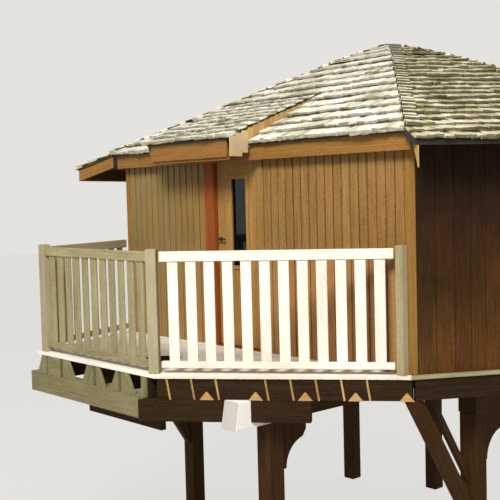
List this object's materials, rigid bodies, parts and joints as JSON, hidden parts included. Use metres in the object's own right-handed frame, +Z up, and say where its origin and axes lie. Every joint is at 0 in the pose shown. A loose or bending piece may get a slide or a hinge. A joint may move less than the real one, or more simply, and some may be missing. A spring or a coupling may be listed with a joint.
{
  "type": "tree house",
  "caption": "Six-sided timber cabin on legs with a low shake roof, a small canopy over the door and a railed porch deck with an opening for a trunk.",
  "frame": {"origin": "on the ground, in the middle of the overall width and depth", "axes": "+Z up, -Y out of the front wall with the door and the porch, +X to the right along the front wall as seen from the porch"},
  "size_m": [7.9301, 6.5372, 5.9318],
  "materials": {
    "cedar_shakes": "split and weathered",
    "larch_boards": "sawn, oiled",
    "door_boards": "planed, oiled",
    "stained_cedar": "red-brown stain",
    "glass": "clear pane",
    "dark_iron": "dark, dull",
    "deck_boards": "sawn, bleached",
    "pale_timber": "sawn, bleached by the sun",
    "framing_timber": "sawn, weathered"
  },
  "bodies": {
    "house": {"front_legs": "framing_timber", "back_legs": "framing_timber", "inner_bearers": "framing_timber", "outer_bearers": "framing_timber", "knee_braces": "framing_timber", "tree_yoke": "framing_timber", "front_beam": "framing_timber", "left_beam": "pale_timber", "porch_joists": "framing_timber", "cabin_joists": "framing_timber", "rim_joists": "framing_timber", "joist_end_blocks": "pale_timber", "rim_slips": "pale_timber", "porch_deck": "deck_boards", "wall_ledges": "deck_boards", "cabin_floor": "deck_boards", "front_wall_right": "larch_boards", "front_wall_left": "larch_boards", "over_door_panel": "larch_boards", "right_front_wall": "larch_boards", "right_back_wall": "larch_boards", "back_wall": "larch_boards", "left_back_wall": "larch_boards", "left_front_wall": "larch_boards", "corner_boards": "larch_boards", "left_door_post": "stained_cedar", "right_door_post": "larch_boards", "door_sill": "stained_cedar", "frame_hinges": "dark_iron", "roof_front": "cedar_shakes", "roof_right_front": "cedar_shakes", "roof_right_back": "cedar_shakes", "roof_back": "cedar_shakes", "roof_left_back": "cedar_shakes", "roof_left_front": "cedar_shakes", "hip_caps": "cedar_shakes", "longer_eaves": "cedar_shakes", "eave_ends": "larch_boards", "eave_fascias": "larch_boards", "canopy_roof": "cedar_shakes", "canopy_verges": "larch_boards", "canopy_fascia": "larch_boards", "side_canopy": "cedar_shakes", "side_canopy_boards": "larch_boards", "near_left_post": "pale_timber", "far_left_post": "pale_timber", "right_post": "pale_timber", "front_railing": "pale_timber", "left_railing": "pale_timber", "back_left_railing": "pale_timber"},
    "door": {"door_leaf": "door_boards", "door_glass": "glass", "door_handle": "dark_iron", "door_hinges": "dark_iron"}
  },
  "joints": [
    {"name": "door_hinge", "type": "hinge", "parent": "house", "child": "door", "pos_m": [0.21995, -1.59595, 3.585], "axis": [0, 0, -1], "range_deg": [0, 95]}
  ]
}
